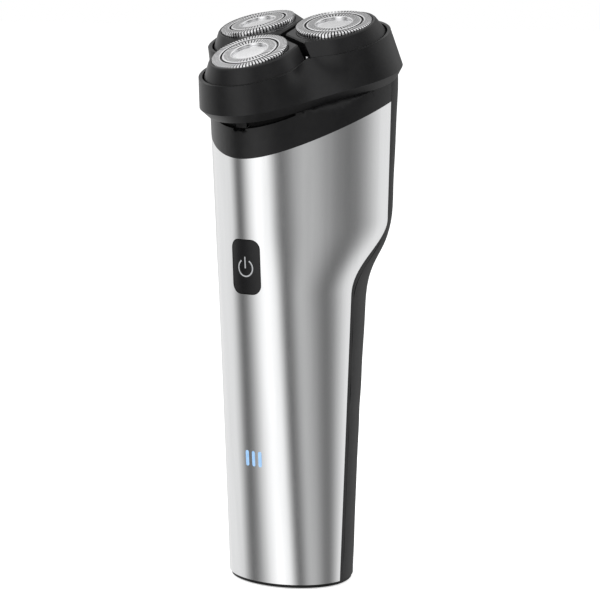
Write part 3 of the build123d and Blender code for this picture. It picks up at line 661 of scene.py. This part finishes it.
bm = bmesh.new()
bm.from_mesh(nodes["collar"].data)
collar = add_piece("collar_grooved", bm, [black], "body", nodes["collar"].matrix_world.copy())
bm = wall_mesh(
    GROOVE_COLUMNS, GROOVE_ROWS, lambda z: -GROOVE_END, lambda z: GROOVE_END, groove_bottom, groove_top,
    outer_inset=-CUT_AHEAD, inner_inset=GROOVE_DEPTH,
)
# The groove's cut takes the painted shade
cut_out(collar, bm, shade)
even = collar.modifiers.new("even_normals", "WEIGHTED_NORMAL")
even.keep_sharp = True
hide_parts("collar")


# The button's symbol, laid on its face: an open ring and a bar

SYMBOL_Z = 93.3
RING_RADIUS = 2.4
RING_GAP = radians(32)
RING_STEPS = 56
STROKE = 0.2
BAR_FOOT = -0.1
BAR_LENGTH = 3.3
BAR_STEPS = 8
FACE_INSET = 0.1
INK_HEIGHT = 0.02


def on_button(x, z):
    """A point just proud of the button's face."""
    return Vector((x, front_y(x, z, FACE_INSET) - INK_HEIGHT, z)) * MM


bm = bmesh.new()
ring = []
for i in range(RING_STEPS + 1):
    a = pi / 2 + RING_GAP + (2 * pi - 2 * RING_GAP) * i / RING_STEPS
    radii = (RING_RADIUS - STROKE, RING_RADIUS + STROKE)
    ring.append([bm.verts.new(on_button(r * cos(a), SYMBOL_Z + r * sin(a))) for r in radii])
sheet(bm, ring)
bar = []
for i in range(BAR_STEPS + 1):
    z = SYMBOL_Z + BAR_FOOT + BAR_LENGTH * i / BAR_STEPS
    bar.append([bm.verts.new(on_button(x, z)) for x in (-STROKE, STROKE)])
sheet(bm, bar)
symbol = add_piece("power_symbol", bm, [ink], "power_button")


# Smooth shading on the solids

for node in nodes.values():
    node.data.shade_smooth()
    node.data.set_sharp_from_angle(angle=SOLID_SMOOTH)


# Studio: a pale floor, tall strips that the steel reflects, and soft lamps

def stage_mesh(name, bm, material, height=0.0):
    """A stage object from a bmesh, at a height."""
    mesh = bpy.data.meshes.new(name)
    bm.to_mesh(mesh)
    bm.free()
    mesh.materials.append(material)
    item = bpy.data.objects.new(name, mesh)
    item.location.z = height
    scene.collection.objects.link(item)
    return item


# Floor, lifted towards white where the camera sees it and left out of reflections
FLOOR_GLOW = 0.58
FLOOR_HALF_SIZE = 6.0
FLOOR_HEIGHT = -0.0004
floor_material, floor_tree, floor_shader = new_material("floor")
floor_shader.inputs["Base Color"].default_value = (0.86, 0.86, 0.86, 1)
floor_shader.inputs["Roughness"].default_value = 0.9
floor_shader.inputs["Specular IOR Level"].default_value = 0.0
floor_ray = floor_tree.nodes.new("ShaderNodeLightPath")
white = floor_tree.nodes.new("ShaderNodeEmission")
white.inputs["Strength"].default_value = FLOOR_GLOW
lifted = floor_tree.nodes.new("ShaderNodeAddShader")
pick = floor_tree.nodes.new("ShaderNodeMixShader")
floor_tree.links.new(floor_shader.outputs[0], lifted.inputs[0])
floor_tree.links.new(white.outputs[0], lifted.inputs[1])
floor_tree.links.new(floor_ray.outputs["Is Camera Ray"], pick.inputs["Fac"])
floor_tree.links.new(floor_shader.outputs[0], pick.inputs[1])
floor_tree.links.new(lifted.outputs[0], pick.inputs[2])
floor_tree.links.new(pick.outputs[0], floor_tree.nodes["Material Output"].inputs["Surface"])
bm = bmesh.new()
bmesh.ops.create_grid(bm, x_segments=1, y_segments=1, size=FLOOR_HALF_SIZE)
floor = stage_mesh("floor", bm, floor_material, FLOOR_HEIGHT)
floor.visible_glossy = False

# Strips: the brightness of a tall ring by its azimuth in degrees, and a dimmer disc of the same tones below
STRIPS = (
    (-180, 0.88), (-164, 0.86), (-136, 0.16), (-88, 1.28), (-77, 1.14), (-57, 0.16), (-35, 0.54),
    (4, 0.19), (48, 0.92), (75, 0.80), (100, 0.30), (125, 0.60), (150, 0.90), (180, 0.88),
)
STRIP_RADIUS = 1.6
STRIP_HEIGHT = 3.0
GROUND_STRENGTH = 0.45
strip_material, strip_tree, strip_shader = new_material("strips")
strip_tree.nodes.remove(strip_shader)
coords = strip_tree.nodes.new("ShaderNodeTexCoord")
azimuths = strip_tree.nodes.new("ShaderNodeTexGradient")
azimuths.gradient_type = "RADIAL"
tones = strip_tree.nodes.new("ShaderNodeValToRGB")
tones.color_ramp.interpolation = "EASE"
stops = tones.color_ramp.elements
while len(stops) < len(STRIPS):
    stops.new(0.5)
for stop, (azimuth, level) in zip(stops, STRIPS):
    stop.position = (azimuth + 180) / 360
    stop.color = (level, level, level, 1)
emit = strip_tree.nodes.new("ShaderNodeEmission")
strip_tree.links.new(coords.outputs["Object"], azimuths.inputs["Vector"])
strip_tree.links.new(azimuths.outputs["Fac"], tones.inputs["Fac"])
strip_tree.links.new(tones.outputs["Color"], emit.inputs["Color"])
strip_tree.links.new(emit.outputs[0], strip_tree.nodes["Material Output"].inputs["Surface"])
ground_material = strip_material.copy()
ground_material.node_tree.nodes[emit.name].inputs["Strength"].default_value = GROUND_STRENGTH
bm = bmesh.new()
bmesh.ops.create_cone(
    bm, cap_ends=False, segments=256, radius1=STRIP_RADIUS, radius2=STRIP_RADIUS, depth=STRIP_HEIGHT,
)
strips = stage_mesh("strips", bm, strip_material)
bm = bmesh.new()
bmesh.ops.create_circle(bm, cap_ends=True, radius=STRIP_RADIUS, segments=64)
ground = stage_mesh("ground", bm, ground_material, -STRIP_HEIGHT / 2)
for item in (strips, ground):
    item.visible_camera = False
    item.visible_diffuse = False
    item.visible_shadow = False
    item.visible_transmission = False

# World: white where it is seen, softer as light
WORLD_LIGHT = 0.7
WORLD_BACKDROP = 1.0
world = bpy.data.worlds.new("studio")
scene.world = world
world.use_nodes = True
world_tree = world.node_tree
world_tree.nodes.clear()


def background(strength):
    """A white background of a strength."""
    node = world_tree.nodes.new("ShaderNodeBackground")
    node.inputs["Color"].default_value = (1, 1, 1, 1)
    node.inputs["Strength"].default_value = strength
    return node.outputs[0]


world_ray = world_tree.nodes.new("ShaderNodeLightPath")
seen = world_ray.outputs["Is Camera Ray"]
for kind in ("Is Glossy Ray", "Is Transmission Ray"):
    either = world_tree.nodes.new("ShaderNodeMath")
    either.operation = "MAXIMUM"
    world_tree.links.new(seen, either.inputs[0])
    world_tree.links.new(world_ray.outputs[kind], either.inputs[1])
    seen = either.outputs[0]
choose = world_tree.nodes.new("ShaderNodeMixShader")
world_output = world_tree.nodes.new("ShaderNodeOutputWorld")
world_tree.links.new(seen, choose.inputs["Fac"])
world_tree.links.new(background(WORLD_LIGHT), choose.inputs[1])
world_tree.links.new(background(WORLD_BACKDROP), choose.inputs[2])
world_tree.links.new(choose.outputs[0], world_output.inputs["Surface"])

# Lamps
LAMP_SIZE = 0.8
LAMP_TARGET = Vector((0, 0, 0.1))


def area_lamp(name, place, power):
    """A soft square lamp aimed at the middle of the handle, left out of reflections."""
    data = bpy.data.lights.new(name, "AREA")
    data.energy = power
    data.size = LAMP_SIZE
    item = bpy.data.objects.new(name, data)
    item.location = place
    item.rotation_euler = (LAMP_TARGET - Vector(place)).to_track_quat("-Z", "Y").to_euler()
    scene.collection.objects.link(item)
    item.visible_glossy = False


area_lamp("key", (-0.5, -0.9, 1.1), 9.0)
area_lamp("fill", (0.9, -0.4, 0.9), 5.0)

# Camera
CAMERA_PLACE = (0.36767, -0.51075, 0.17401)
CAMERA_DOWN = radians(8.362)
CAMERA_TURN = radians(35.53)
camera_data = bpy.data.cameras.new("camera")
camera_data.sensor_width = 36.0
camera_data.lens = 131.3
camera_data.clip_start = 0.01
camera = bpy.data.objects.new("camera", camera_data)
camera.location = CAMERA_PLACE
camera.rotation_euler = (pi / 2 - CAMERA_DOWN, 0, CAMERA_TURN)
scene.collection.objects.link(camera)
scene.camera = camera
scene.view_settings.view_transform = "Standard"
